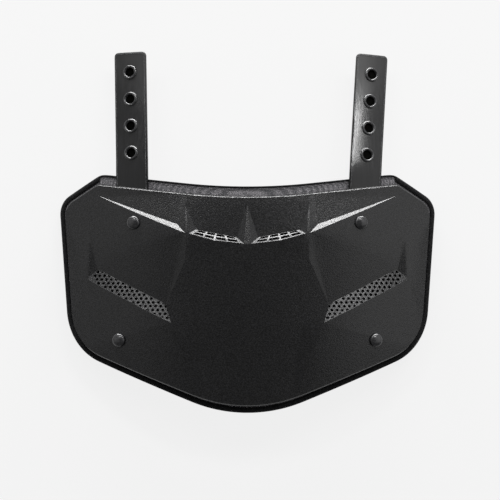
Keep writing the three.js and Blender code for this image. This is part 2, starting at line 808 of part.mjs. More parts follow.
// Plate: outer form less inner form, pierced, notched for the straps and drilled
const plateOutline = roundLoop(cornersInPlane(null, { bottom: 0, side: 0, shoulder: 0, top: 0 }));
const outerForm = toManifold(rolled(facetColumns(0, rimBack)))
  .intersect(toManifold(rolled(loopPrism(plateOutline, farBelow, farAbove))));
const innerForm = toManifold(rolled(facetColumns(plateWall, farBelow)))
  .intersect(toManifold(rolled(loopPrism(insetLoop(plateOutline, plateWall), farBelow - 1, farAbove))));
let plate = outerForm.subtract(innerForm);
for (const spot of rivetSpots) {
  const top = seatLevel(spot);
  const bottom = faceHeight(spot.u, spot.v) - plateWall * 0.9;
  const seat = discPrism(spot.u, spot.v, rivetHead / 2 + seatLift * 0.5, bottom, top, 8);
  plate = plate.add(toManifold(rolled(seat)));
}
const plateCutters = [];
for (const side of [-1, 1]) {
  plateCutters.push(...innerSlots(side), ...flankHoles(side));
}
for (const frame of strapFrames) {
  plateCutters.push(loopPrism(strapLoop(frame, slotGap), farBelow, strapRoof));
}
for (const spot of rivetSpots) {
  plateCutters.push(discPrism(spot.u, spot.v, drillRadius, farBelow, farAbove, 8));
}
addPiece('plate', geometryFrom(fromManifold(cutRolled(plate, plateCutters))), blackPlastic);

// The part lies on its pad edges, with the middle of its footprint at the origin
const bounds = new THREE.Box3();
for (const mesh of group.children) {
  mesh.geometry.computeBoundingBox();
  bounds.union(mesh.geometry.boundingBox);
}
const middle = bounds.getCenter(new THREE.Vector3());
for (const mesh of group.children) {
  mesh.geometry.translate(-middle.x, -middle.y, -bounds.min.z);
  mesh.geometry.computeVertexNormals();
}

export default group;
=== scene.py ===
import math
import bmesh
import bpy
from mathutils import Matrix, Vector
from mathutils.geometry import tessellate_polygon


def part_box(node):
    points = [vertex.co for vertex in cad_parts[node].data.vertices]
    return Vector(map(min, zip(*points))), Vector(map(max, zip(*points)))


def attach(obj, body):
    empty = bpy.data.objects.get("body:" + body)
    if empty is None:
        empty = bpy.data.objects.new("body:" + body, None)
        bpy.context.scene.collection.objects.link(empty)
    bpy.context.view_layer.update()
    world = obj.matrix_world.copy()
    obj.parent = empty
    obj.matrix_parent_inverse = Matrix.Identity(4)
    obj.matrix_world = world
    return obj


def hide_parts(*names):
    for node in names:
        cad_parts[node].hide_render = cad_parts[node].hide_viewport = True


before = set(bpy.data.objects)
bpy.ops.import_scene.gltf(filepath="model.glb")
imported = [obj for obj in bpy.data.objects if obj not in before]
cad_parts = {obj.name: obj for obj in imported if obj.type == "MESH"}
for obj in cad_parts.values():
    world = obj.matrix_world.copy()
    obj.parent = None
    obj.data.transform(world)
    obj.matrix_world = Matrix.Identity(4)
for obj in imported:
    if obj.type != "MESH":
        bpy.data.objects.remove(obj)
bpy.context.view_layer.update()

MM = 0.001

# Sizes in millimetres and angles in degrees, as in the CAD source except TOP_TAPE_WIDTH and STRAP_CURL
BACK_RADIUS = 330.0
HALF_WIDTH = 173.0
HEIGHT = 204.5
WALL = 2.6
CROWN = 9.6
PAD_THICK = 9.0
TAPE_THICK = 1.2
TAPE_WIDTH = 5.2
TOP_TAPE_WIDTH = 1.2
BORDERS = {"bottom": 6.6, "side": 9.8, "shoulder": 8.0, "top": 9.2}
STRAP_WIDTH = 30.6
STRAP_THICK = 2.8
STRAP_LINING = 0.8
STRAP_LENGTH = {"left": 176.8, "right": 175.0}
STRAP_CORNER = 4.0
STRAP_CENTRE = 104.2
STRAP_LEAN = {"left": 1.4, "right": 3.8}
STRAP_DROOP = 8.0
STRAP_CURL = 0.5
DROOP_RUN = 18.0
EYELET_COUNT = 4
EYELET_PITCH = 25.4
EYELET_FROM_TIP = 19.2
EYELET_FLANGE = 13.8
EYELET_BORE = 8.6
BARREL_WALL = 0.8
RIVET_HEAD = 12.4
RIVET_DOME = 3.2
RIVET_SHANK = 4.8
RIVET_TAIL = 11.0
TAIL_THICK = 1.2
UPPER_RIVET = (100.6, 168.2)
LOWER_RIVET = (115.0, 58.8)
STRAP_OVERLAP = RIVET_HEAD * 1.3
GAP = 0.3
TAPE_FRONT = PAD_THICK + GAP + TAPE_THICK
STRAP_BACK = TAPE_FRONT + GAP
STRAP_FRONT = STRAP_BACK + STRAP_THICK
STRAP_ROOF = STRAP_FRONT + GAP * 2
RIM_BACK = PAD_THICK + GAP
RIM_FACE = STRAP_ROOF + WALL

# Corners of one half of the outline: shares of HALF_WIDTH across, HEIGHT up and HALF_WIDTH for the rounding
CORNERS = (
    ("tip", 0.0, -0.057, 0.745),
    ("low", 0.938, 0.262, 0.27),
    ("side", 1.0, 0.9, 0.1),
    ("shoulder", 0.797, 1.0, 0.06),
    ("top", 0.0, 0.926, 2.9),
)
PAD_ROUNDS = {"tip": 0.78, "low": 0.32, "side": 0.115, "shoulder": 0.1, "top": 2.95}

# Points of one half of the face: shares of HALF_WIDTH, HEIGHT and CROWN
POINTS = {
    "slitTip": (0.792, 0.947, 0), "slitFloorEnd": (0.356, 0.815, 0.38),
    "slitCrestEnd": (0.311, 0.776, 0.94), "ribTop": (0.317, 0.914, 0.1),
    "innerCrestStart": (0.289, 0.773, 0.95), "innerFloorStart": (0.261, 0.79, 0.38),
    "innerCrestMiddle": (0.164, 0.742, 0.98), "innerFloorEnd": (0.054, 0.754, 0.4),
    "innerCrestEnd": (0.017, 0.727, 1), "centreRibTop": (0, 0.902, 0.14),
    "centreCrest": (0, 0.724, 1.02), "centreUpper": (0, 0.465, 0.86),
    "centreLower": (0, 0.205, 0.5), "outerWallTop": (0.843, 0.747, 0.22),
    "panelUpper": (0.302, 0.668, 0.82), "panelMiddle": (0.276, 0.467, 0.64),
    "panelLower": (0.269, 0.363, 0.54), "panelLow": (0.246, 0.205, 0.26),
    "panelEnd": (0.203, -0.014, 0), "ventFloorOuter": (0.79, 0.611, 0.02),
    "ventFloorInner": (0.417, 0.454, 0.08), "ventEnd": (0.41, 0.448, 0.6),
    "ventLipOuter": (0.847, 0.566, 0.48), "ventLipInner": (0.384, 0.37, 0.72),
    "facetMiddle": (0.333, 0.252, 0.52), "facetEnd": (0.225, -0.01, 0),
}

# Flat facets of one half of the face, each by its points
FACETS = (
    "ribTop slitFloorEnd slitTip shoulder top",
    "centreRibTop innerFloorEnd innerFloorStart ribTop top",
    "slitTip slitFloorEnd slitCrestEnd",
    "ribTop slitCrestEnd slitFloorEnd",
    "ribTop innerCrestStart slitCrestEnd",
    "ribTop innerFloorStart innerCrestStart",
    "innerFloorStart innerFloorEnd innerCrestMiddle",
    "innerFloorStart innerCrestMiddle innerCrestStart",
    "innerFloorEnd innerCrestEnd innerCrestMiddle",
    "centreRibTop innerCrestEnd innerFloorEnd",
    "centreRibTop centreCrest innerCrestEnd",
    "slitTip outerWallTop side shoulder",
    "slitTip slitCrestEnd outerWallTop",
    "slitCrestEnd ventFloorOuter outerWallTop",
    "slitCrestEnd ventFloorInner ventFloorOuter",
    "slitCrestEnd panelUpper ventFloorInner",
    "slitCrestEnd innerCrestStart panelUpper",
    "outerWallTop ventFloorOuter ventLipOuter",
    "outerWallTop ventLipOuter side",
    "ventLipOuter low side",
    "ventFloorOuter ventFloorInner ventLipInner ventLipOuter",
    "ventFloorInner ventEnd ventLipInner",
    "panelUpper panelMiddle ventEnd",
    "panelUpper ventEnd ventFloorInner",
    "panelMiddle panelLower ventLipInner ventEnd",
    "panelLower panelLow facetMiddle ventLipInner",
    "panelLow panelEnd facetEnd facetMiddle",
    "ventLipOuter ventLipInner low",
    "ventLipInner facetMiddle low",
    "facetMiddle facetEnd low",
    "centreCrest centreUpper panelUpper innerCrestStart innerCrestMiddle innerCrestEnd",
    "centreUpper centreLower panelLower panelMiddle panelUpper",
    "centreLower tip panelEnd panelLow panelLower",
)


# Outlines in the unrolled plane
def twice_area(loop):
    return sum(loop[i - 1][0] * loop[i][1] - loop[i][0] * loop[i - 1][1] for i in range(len(loop)))


def turned_left(loop):
    return loop if twice_area(loop) > 0 else loop[::-1]


def move_edges(loop, borders):
    count = len(loop)
    edges = []
    for index, corner in enumerate(loop):
        after = loop[(index + 1) % count]
        du, dv = after[0] - corner[0], after[1] - corner[1]
        length = math.hypot(du, dv)
        nu, nv = dv / length, -du / length
        edges.append((nu, nv, nu * corner[0] + nv * corner[1] + borders[index]))
    moved = []
    for index, corner in enumerate(loop):
        au, av, a = edges[index - 1]
        bu, bv, b = edges[index]
        cross = au * bv - av * bu
        moved.append(((a * bv - b * av) / cross, (au * b - bu * a) / cross, corner[2]))
    return moved


def corner_loop(rounds, borders):
    half = [(across * HALF_WIDTH, up * HEIGHT, (rounds[name] if rounds else radius) * HALF_WIDTH)
            for name, across, up, radius in CORNERS]
    left = [(-u, v, radius) for u, v, radius in reversed(half[1:-1])]
    edges = [borders[name] for name in ("bottom", "side", "shoulder", "top")]
    return move_edges(half + left, edges + edges[::-1])


def round_loop(corners, chord_error=0.02):
    points = []
    for index, (u, v, radius) in enumerate(corners):
        before = corners[index - 1]
        after = corners[(index + 1) % len(corners)]
        corner = Vector((u, v))
        inward = (corner - Vector(before[:2])).normalized()
        outward = (Vector(after[:2]) - corner).normalized()
        cross = inward.x * outward.y - inward.y * outward.x
        turn = math.atan2(cross, inward.dot(outward))
        start = corner - inward * (radius * math.tan(abs(turn) / 2))
        side = 1 if turn > 0 else -1
        centre = start + Vector((-inward.y, inward.x)) * radius * side
        steps = max(3, math.ceil(abs(turn) / (2 * math.acos(1 - chord_error / radius))))
        for step in range(steps + 1):
            turned = Matrix.Rotation(turn * step / steps, 2) @ (start - centre)
            points.append((centre.x + turned.x, centre.y + turned.y))
    return points


def dense_loop(points, step):
    dense = []
    for index, point in enumerate(points):
        after = points[(index + 1) % len(points)]
        length = math.dist(point, after)
        if length < 1e-6:
            continue
        parts = max(1, round(length / step))
        for part in range(parts):
            share = part / parts
            dense.append((point[0] + (after[0] - point[0]) * share,
                          point[1] + (after[1] - point[1]) * share))
    return dense


def inward_at(loop, index):
    u, v = loop[index]
    before, after = loop[index - 1], loop[(index + 1) % len(loop)]
    first = Vector((u - before[0], v - before[1])).normalized()
    second = Vector((after[0] - u, after[1] - v)).normalized()
    normal = Vector((-first.y - second.y, first.x + second.x)).normalized()
    return normal / max(0.5, normal.dot(Vector((-first.y, first.x))))


def inset_loop(loop, inset, shares=None):
    moved = []
    for index, (u, v) in enumerate(loop):
        reach = inward_at(loop, index) * inset * (shares[index] if shares else 1.0)
        moved.append((u + reach.x, v + reach.y))
    return moved


def ease(value, low, high):
    share = min(1.0, max(0.0, (value - low) / (high - low)))
    return share * share * (3 - 2 * share)


# Rolling the unrolled plane onto the back
tape_loop = round_loop(corner_loop(PAD_ROUNDS, BORDERS))
# The height from which the straps droop, just past the top edge of the pad
strap_top = HEIGHT * 0.982 + BORDERS["top"] + GAP * 4
droop_slope = math.tan(math.radians(STRAP_DROOP))
low_corner = min(tape_loop, key=lambda point: point[1])
shift_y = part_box("binding")[0][1] * 1000 - low_corner[1]
widest = max(abs(u) for u, v in tape_loop) / BACK_RADIUS
shift_z = BACK_RADIUS - (BACK_RADIUS - GAP - TAPE_THICK) * math.cos(widest)


def roll(u, v, w):
    angle = u / BACK_RADIUS
    radius = BACK_RADIUS + w
    return Vector((radius * math.sin(angle), v + shift_y, radius * math.cos(angle) - BACK_RADIUS + shift_z))


def roll_loop(loop, w):
    return [roll(u, v, w) * MM for u, v in loop]


def droop_at(v):
    past = v - strap_top
    if past <= 0:
        return 0.0, 0.0
    if past < DROOP_RUN:
        return droop_slope * past * past / (2 * DROOP_RUN), droop_slope * past / DROOP_RUN
    return droop_slope * (past - DROOP_RUN / 2), droop_slope


def make_object(name, vertices, faces):
    mesh = bpy.data.meshes.new(name)
    mesh.from_pydata([tuple(vertex) for vertex in vertices], [], faces)
    mesh.update()
    obj = bpy.data.objects.new(name, mesh)
    bpy.context.scene.collection.objects.link(obj)
    return obj


def face_out(obj):
    work = bmesh.new()
    work.from_mesh(obj.data)
    bmesh.ops.recalc_face_normals(work, faces=work.faces)
    if work.calc_volume(signed=True) < 0:
        bmesh.ops.reverse_faces(work, faces=work.faces)
    work.to_mesh(obj.data)
    work.free()


def ring_stack(name, rings, closed=False):
    size = len(rings[0])
    vertices = [vertex for ring in rings for vertex in ring]
    faces = []
    levels = len(rings) if closed else len(rings) - 1
    for level in range(levels):
        low, high = level * size, ((level + 1) % len(rings)) * size
        for step in range(size):
            after = (step + 1) % size
            faces.append((low + step, low + after, high + after, high + step))
    if not closed:
        faces.append(tuple(reversed(range(size))))
        faces.append(tuple(range((len(rings) - 1) * size, len(rings) * size)))
    obj = make_object(name, vertices, faces)
    face_out(obj)
    return obj


def prism(name, loop, low, high):
    return ring_stack(name, [[(u, v, level) for u, v in loop] for level in (low, high)])


def apply_modifiers(obj):
    depsgraph = bpy.context.evaluated_depsgraph_get()
    mesh = bpy.data.meshes.new_from_object(obj.evaluated_get(depsgraph))
    old = obj.data
    obj.modifiers.clear()
    obj.data = mesh
    bpy.data.meshes.remove(old)


def boolean(obj, other, operation):
    modifier = obj.modifiers.new("cut", "BOOLEAN")
    modifier.operation = operation
    modifier.solver = "EXACT"
    modifier.object = other
    apply_modifiers(obj)
    bpy.data.objects.remove(other)


def joined_prisms(name, loops, low, high):
    vertices, faces = [], []
    for loop in loops:
        start, size = len(vertices), len(loop)
        ring = turned_left(loop)
        vertices += [(u, v, low) for u, v in ring] + [(u, v, high) for u, v in ring]
        for step in range(size):
            after = (step + 1) % size
            faces.append((start + step, start + after, start + size + after, start + size + step))
        faces.append(tuple(start + step for step in reversed(range(size))))
        faces.append(tuple(start + size + step for step in range(size)))
    return make_object(name, vertices, faces)


def cut_and_roll(obj, step_u, cuts_v=(), curl=None):
    work = bmesh.new()
    work.from_mesh(obj.data)
    bmesh.ops.triangulate(work, faces=work.faces)
    reach = max(abs(vertex.co.x) for vertex in work.verts)
    planes = [(k * step_u, 0) for k in range(-int(reach / step_u), int(reach / step_u) + 1)]
    planes += [(value, 1) for value in cuts_v]
    for value, axis in planes:
        place = Vector((value, 0, 0)) if axis == 0 else Vector((0, value, 0))
        normal = Vector((1, 0, 0)) if axis == 0 else Vector((0, 1, 0))
        everything = work.verts[:] + work.edges[:] + work.faces[:]
        bmesh.ops.bisect_plane(work, geom=everything, dist=1e-4, plane_co=place, plane_no=normal)
    for vertex in work.verts:
        u, v, w = vertex.co
        place = roll(u, v, w + curl(u, v)) if curl else roll(u, v, w)
        if curl:
            place.z -= droop_at(v)[0]
        vertex.co = place * MM
    work.to_mesh(obj.data)
    work.free()


def smooth(obj, angle=30.0, weighted=True):
    for polygon in obj.data.polygons:
        polygon.use_smooth = True
    obj.data.set_sharp_from_angle(angle=math.radians(angle))
    if weighted:
        modifier = obj.modifiers.new("normals", "WEIGHTED_NORMAL")
        modifier.keep_sharp = True
        modifier.weight = 60
        apply_modifiers(obj)


def finish_piece(obj, slot, material, *nodes):
    if not obj.data.materials:
        obj.data.materials.append(material)
    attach(obj, "root")
    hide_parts(*nodes)


# Materials
def shader(name, colour, roughness):
    material = bpy.data.materials.new(name)
    material.use_nodes = True
    tree = material.node_tree
    principled = next(node for node in tree.nodes if node.type == "BSDF_PRINCIPLED")
    principled.inputs["Base Color"].default_value = (*colour, 1)
    principled.inputs["Roughness"].default_value = roughness
    return material, tree, principled


def add(tree, kind, inputs=None, **settings):
    node = tree.nodes.new(kind)
    for key, value in settings.items():
        setattr(node, key, value)
    for key, value in (inputs or {}).items():
        if isinstance(value, bpy.types.NodeSocket):
            tree.links.new(value, node.inputs[key])
        else:
            node.inputs[key].default_value = value
    return node


def place_of(tree, scale):
    coordinates = add(tree, "ShaderNodeTexCoord")
    mapping = add(tree, "ShaderNodeMapping", {"Vector": coordinates.outputs["Object"], "Scale": scale})
    return mapping.outputs["Vector"]


def math_node(tree, operation, first, second=0.0):
    node = add(tree, "ShaderNodeMath", operation=operation)
    for index, value in enumerate((first, second)):
        if isinstance(value, bpy.types.NodeSocket):
            tree.links.new(value, node.inputs[index])
        else:
            node.inputs[index].default_value = value
    return node.outputs[0]


def ramp(tree, value, low, high, start=0.0, end=1.0):
    node = add(tree, "ShaderNodeMapRange",
               {"Value": value, "From Min": start, "From Max": end, "To Min": low, "To Max": high})
    return node.outputs["Result"]


def colour_ramp(tree, value, low, high, start, end):
    node = add(tree, "ShaderNodeValToRGB", {"Fac": value})
    first, second = node.color_ramp.elements
    first.position, second.position = start, end
    first.color, second.color = (*low, 1), (*high, 1)
    return node.outputs["Color"]


def bump(tree, principled, height, strength, distance):
    node = add(tree, "ShaderNodeBump", {"Height": height, "Strength": strength, "Distance": distance})
    tree.links.new(node.outputs["Normal"], principled.inputs["Normal"])


def moulded_plastic():
    material, tree, principled = shader("moulded_plastic", (0.011, 0.011, 0.012), 0.34)
    place = place_of(tree, (1, 1, 1))
    cells = add(tree, "ShaderNodeTexVoronoi", {"Vector": place, "Scale": 1300.0}, feature="SMOOTH_F1")
    pebble = add(tree, "ShaderNodeTexNoise", {"Vector": place, "Scale": 820.0, "Detail": 2.0})
    wide = add(tree, "ShaderNodeTexNoise", {"Vector": place, "Scale": 38.0, "Detail": 4.0})
    height = math_node(tree, "ADD", cells.outputs["Distance"], pebble.outputs["Fac"])
    bump(tree, principled, height, 0.7, 0.00016)
    spread = ramp(tree, wide.outputs["Fac"], 0.265, 0.285, 0.3, 0.7)
    speck = ramp(tree, pebble.outputs["Fac"], -0.025, 0.025, 0.3, 0.7)
    tree.links.new(math_node(tree, "ADD", spread, speck), principled.inputs["Roughness"])
    shade = colour_ramp(tree, pebble.outputs["Fac"], (0.004, 0.004, 0.0042), (0.02, 0.02, 0.021), 0.35, 0.72)
    tree.links.new(shade, principled.inputs["Base Color"])
    return material


def mesh_cloth():
    material, tree, principled = shader("mesh_cloth", (0.08, 0.08, 0.085), 0.9)
    place = place_of(tree, (1, 1, 1))
    holes = add(tree, "ShaderNodeTexVoronoi", {"Vector": place, "Scale": 900.0, "Randomness": 0.35})
    fibre = add(tree, "ShaderNodeTexNoise", {"Vector": place, "Scale": 1800.0, "Detail": 4.0})
    mixed = math_node(tree, "ADD", holes.outputs["Distance"], fibre.outputs["Fac"])
    shade = colour_ramp(tree, mixed, (0.42, 0.4, 0.42), (0.05, 0.05, 0.055), 0.6, 1.15)
    tree.links.new(shade, principled.inputs["Base Color"])
    principled.inputs["Sheen Weight"].default_value = 0.35
    principled.inputs["Sheen Roughness"].default_value = 0.5
    bump(tree, principled, mixed, 0.7, -0.0004)
    return material


def woven_tape():
    material, tree, principled = shader("woven_tape", (0.02, 0.02, 0.021), 0.75)
    place = place_of(tree, (1, 1, 1))
    weave = add(tree, "ShaderNodeTexVoronoi", {"Vector": place, "Scale": 1300.0, "Randomness": 0.6})
    fuzz = add(tree, "ShaderNodeTexNoise", {"Vector": place, "Scale": 700.0, "Detail": 5.0})
    mixed = math_node(tree, "ADD", weave.outputs["Distance"], fuzz.outputs["Fac"])
    shade = colour_ramp(tree, mixed, (0.022, 0.022, 0.023), (0.003, 0.003, 0.0035), 0.6, 1.3)
    tree.links.new(shade, principled.inputs["Base Color"])
    principled.inputs["Specular IOR Level"].default_value = 0.1
    principled.inputs["Sheen Weight"].default_value = 0.06
    bump(tree, principled, mixed, 0.6, -0.0003)
    return material


def strap_leather():
    material, tree, principled = shader("strap_leather", (0.01, 0.01, 0.011), 0.38)
    streaks = add(tree, "ShaderNodeTexNoise",
                  {"Vector": place_of(tree, (1, 0.02, 1)), "Scale": 900.0, "Detail": 5.0})
    grain = add(tree, "ShaderNodeTexVoronoi",
                {"Vector": place_of(tree, (1, 1, 1)), "Scale": 1100.0}, feature="SMOOTH_F1")
    streak = streaks.outputs["Fac"]
    shade = colour_ramp(tree, streak, (0.003, 0.003, 0.0032), (0.009, 0.009, 0.0095), 0.35, 0.7)
    tree.links.new(shade, principled.inputs["Base Color"])
    height = add(tree, "ShaderNodeSeparateXYZ", {"Vector": place_of(tree, (1, 1, 1))}).outputs["Y"]
    dulled = ramp(tree, height, 0.0, 0.26, 0.11, 0.15)
    rough = math_node(tree, "ADD", ramp(tree, streak, 0.15, 0.24, 0.3, 0.7), dulled)
    tree.links.new(rough, principled.inputs["Roughness"])
    mixed = math_node(tree, "ADD", math_node(tree, "MULTIPLY", streak, 0.8),
                      math_node(tree, "MULTIPLY", grain.outputs["Distance"], 0.5))
    bump(tree, principled, mixed, 0.25, 0.0001)
    return material


def sewing_thread():
    material, tree, principled = shader("sewing_thread", (0.06, 0.06, 0.065), 0.6)
    twist = add(tree, "ShaderNodeTexNoise", {"Vector": place_of(tree, (1, 1, 1)), "Scale": 1600.0})
    shade = colour_ramp(tree, twist.outputs["Fac"], (0.02, 0.02, 0.022), (0.12, 0.12, 0.125), 0.4, 0.65)
    tree.links.new(shade, principled.inputs["Base Color"])
    principled.inputs["Sheen Weight"].default_value = 0.2
    bump(tree, principled, twist.outputs["Fac"], 0.5, 0.0001)
    return material


def backing_cloth():
    material, tree, principled = shader("backing_cloth", (0.002, 0.002, 0.002), 0.95)
    weave = add(tree, "ShaderNodeTexNoise", {"Vector": place_of(tree, (1, 1, 1)), "Scale": 1500.0})
    shade = colour_ramp(tree, weave.outputs["Fac"], (0.001, 0.001, 0.001), (0.006, 0.006, 0.005), 0.4, 0.7)
    tree.links.new(shade, principled.inputs["Base Color"])
    principled.inputs["Specular IOR Level"].default_value = 0.05
    return material


def black_metal(name, roughness, coat):
    material, tree, principled = shader(name, (0.012, 0.012, 0.013), roughness)
    principled.inputs["Coat Weight"].default_value = coat
    principled.inputs["Coat Roughness"].default_value = 0.15
    place = place_of(tree, (1, 1, 1))
    wear = add(tree, "ShaderNodeTexNoise", {"Vector": place, "Scale": 500.0, "Detail": 4.0})
    shade = colour_ramp(tree, wear.outputs["Fac"], (0.008, 0.008, 0.009), (0.03, 0.03, 0.032), 0.4, 0.75)
    tree.links.new(shade, principled.inputs["Base Color"])
    rough = ramp(tree, wear.outputs["Fac"], roughness * 0.8, roughness * 1.4, 0.35, 0.7)
    tree.links.new(rough, principled.inputs["Roughness"])
    bump(tree, principled, wear.outputs["Fac"], 0.15, 0.0001)
    return material


PLASTIC = moulded_plastic()
CLOTH = mesh_cloth()
TAPE = woven_tape()
LEATHER = strap_leather()
THREAD = sewing_thread()
BACKING = backing_cloth()
RING = black_metal("ring_lacquer", 0.28, 0.8)
DOME = black_metal("dome_lacquer", 0.34, 0.5)


# Plate: facets, outline, shell, bevels, vents
none = dict.fromkeys(BORDERS, 0)
grown = dict.fromkeys(BORDERS, 6)
face_points = {name: Vector((a * HALF_WIDTH, b * HEIGHT, RIM_FACE + c * CROWN))
               for name, (a, b, c) in POINTS.items()}
for (name, *_), corner in zip(CORNERS, corner_loop(None, grown)):
    face_points[name] = Vector((corner[0], corner[1], RIM_FACE))


def half_triangles():
    triangles = []
    for facet in FACETS:
        corners = [face_points[name] for name in facet.split()]
        flat = [Vector((point.x, point.y, 0)) for point in corners]
        for i, j, k in tessellate_polygon([flat]):
            a, b, c = corners[i], corners[j], corners[k]
            turn = (b.x - a.x) * (c.y - a.y) - (b.y - a.y) * (c.x - a.x)
            triangles.append((a, b, c) if turn > 0 else (a, c, b))
    return triangles


def mirrored(triangle):
    return tuple(Vector((-point.x, point.y, point.z)) for point in (triangle[0], triangle[2], triangle[1]))


face_triangles = half_triangles()
face_triangles += [mirrored(triangle) for triangle in face_triangles]


def face_height(u, v):
    for a, b, c in face_triangles:
        area = (b.x - a.x) * (c.y - a.y) - (b.y - a.y) * (c.x - a.x)
        share_b = ((u - a.x) * (c.y - a.y) - (v - a.y) * (c.x - a.x)) / area
        share_c = ((b.x - a.x) * (v - a.y) - (b.y - a.y) * (u - a.x)) / area
        if share_b >= -1e-6 and share_c >= -1e-6 and share_b + share_c <= 1 + 1e-6:
            return a.z + (b.z - a.z) * share_b + (c.z - a.z) * share_c
    return RIM_FACE


# One closed solid under all the facets, lowered by a drop on top and flat at the bottom
def facet_columns(name, drop, bottom):
    vertices, faces, seen, edges = [], [], {}, {}

    def vertex(u, v, w):
        key = (round(u, 4), round(v, 4), round(w, 4))
        if key not in seen:
            seen[key] = len(vertices)
            vertices.append((u, v, w))
        return seen[key]

    for triangle in face_triangles:
        top = [vertex(p.x, p.y, p.z - drop) for p in triangle]
        base = [vertex(p.x, p.y, bottom) for p in triangle]
        faces += [tuple(top), (base[0], base[2], base[1])]
        for side in range(3):
            after = (side + 1) % 3
            if (top[after], top[side]) in edges:
                del edges[(top[after], top[side])]
            else:
                edges[(top[side], top[after])] = (base[side], base[after])
    for (top_a, top_b), (base_a, base_b) in edges.items():
        faces.append((top_a, base_a, base_b, top_b))
    return make_object(name, vertices, faces)


# The part of a hole that stays inside a loop of straight edges, moved in by a margin
def clipped(hole, loop, margin):
    turn = 1 if twice_area(loop) > 0 else -1
    kept = hole
    for index, point in enumerate(loop):
        after = loop[(index + 1) % len(loop)]
        length = math.hypot(after.x - point.x, after.y - point.y)
        nu, nv = -turn * (after.y - point.y) / length, turn * (after.x - point.x) / length
        reach = [(u - point.x) * nu + (v - point.y) * nv - margin for u, v in kept]
        result = []
        for k, (u, v) in enumerate(kept):
            before = kept[k - 1]
            if reach[k - 1] * reach[k] < 0:
                share = reach[k - 1] / (reach[k - 1] - reach[k])
                result.append((before[0] + (u - before[0]) * share, before[1] + (v - before[1]) * share))
            if reach[k] >= 0:
                result.append((u, v))
        kept = result
        if len(kept) < 3:
            return []
    return kept


# Six-sided vent holes in staggered rows, left out where the edge of the ledge would cut them too small
def flank_loops(side):
    names = ("ventFloorOuter", "ventLipOuter", "ventLipInner", "ventEnd", "ventFloorInner")
    loop = [face_points[name] for name in names]
    pitch, row_step, radius, margin = 4.45, 3.5, 1.46, 0.45
    smallest_area = 1.6
    end_u, end_v, end_lean = 135.2, 110.9, 0.48
    first_u, first_v = face_points["ventLipInner"].x + 1.2, face_points["ventLipInner"].y + 1.0
    turns = [math.pi / 6 + k * math.pi / 3 for k in range(6)]
    loops = []
    for row in range(-1, 20):
        for column in range(-1, 30):
            u = first_u + (column + (row % 2) / 2) * pitch
            v = first_v + row * row_step
            if u > end_u + end_lean * (v - end_v):
                continue
            whole = [(u + radius * math.cos(a), v + radius * math.sin(a)) for a in turns]
            hole = clipped(whole, loop, margin)
            if hole and abs(twice_area(hole)) / 2 > smallest_area:
                loops.append([(across * side, up) for across, up in hole])
    return loops


# Two rows of slots in an inner ledge, with a narrow bar between each slot and the next
def slot_loops(side):
    start, middle, end = (face_points["innerCrest" + word] for word in ("Start", "Middle", "End"))
    floor_start, floor_end = face_points["innerFloorStart"], face_points["innerFloorEnd"]

    def lower(share):
        return start.lerp(middle, share * 2) if share < 0.5 else middle.lerp(end, share * 2 - 1)

    half_bar = 0.95 / (start.x - end.x)
    rows, columns = ((0.15, 0.52), (0.66, 0.98)), 4
    end_share = 0.05
    loops = []
    for low, high in rows:
        for column in range(columns):
            first = end_share + 0.9 * column / columns + half_bar
            last = end_share + 0.9 * (column + 1) / columns - half_bar
            loop = []
            for along, over in ((first, low), (last, low), (last, high), (first, high)):
                point = lower(along).lerp(floor_start.lerp(floor_end, along), over)
                loop.append((point.x * side, point.y))
            loops.append(loop)
    return loops


def strap_point(side_name, across, along):
    side = 1 if side_name == "right" else -1
    angle = math.radians(STRAP_LEAN[side_name])
    u = STRAP_CENTRE + along * math.sin(angle) + across * math.cos(angle)
    v = UPPER_RIVET[1] - STRAP_OVERLAP + along * math.cos(angle) - across * math.sin(angle)
    return side * u, v


def strap_loop(side_name, grow=0.0):
    half = STRAP_WIDTH / 2 + grow
    length = STRAP_LENGTH[side_name]
    ends = ((-half, -grow), (half, -grow), (half, length), (-half, length))
    corners = [(*strap_point(side_name, across, along), STRAP_CORNER) for across, along in ends]
    return round_loop(turned_left(corners), 0.03)


plate_loop = round_loop(corner_loop(None, none))
shell = facet_columns("plate_shell", 0, RIM_BACK)
# Levels that lie clear below and above the plate, for the solids that cut it
below, above = -5, 60
rim_rings = ((-5, 0), (-1.9, 0), (-1.5, 0.1), (-0.8, 0.55), (-0.3, 0.95), (0, 1.4), (45, 1.4))
outline = ring_stack("outline", [[(u, v, RIM_FACE + level) for u, v in inset_loop(plate_loop, inset)]
                                 for level, inset in rim_rings])
boolean(shell, outline, "INTERSECT")
hollow = facet_columns("hollow", WALL, below - 1)
boolean(hollow, prism("inner_outline", inset_loop(plate_loop, WALL), below - 2, above), "INTERSECT")
boolean(shell, hollow, "DIFFERENCE")


# Rounds the creases between facets, but not the rim or the edges of the hollow
def bevel_creases(obj):
    face_slack, rim_margin = 0.05, 0.5
    least, most = math.radians(2.5), math.radians(60)
    work = bmesh.new()
    work.from_mesh(obj.data)
    bmesh.ops.dissolve_limit(work, angle_limit=math.radians(0.4), verts=work.verts, edges=work.edges,
                             delimit={"NORMAL"})
    layer = work.edges.layers.float.new("bevel_weight_edge")
    for edge in work.edges:
        if len(edge.link_faces) != 2:
            continue
        angle = edge.calc_face_angle(0)
        ends = [vertex.co for vertex in edge.verts]
        inside = all(face_height(end.x, end.y) - end.z < face_slack for end in ends)
        inside = inside and max(end.z for end in ends) > RIM_FACE + rim_margin
        if inside and least < angle < most:
            edge[layer] = 1.0
    work.to_mesh(obj.data)
    work.free()
    modifier = obj.modifiers.new("bevel", "BEVEL")
    modifier.limit_method = "WEIGHT"
    modifier.width = 0.7
    modifier.segments = 2
    modifier.use_clamp_overlap = True
    apply_modifiers(obj)


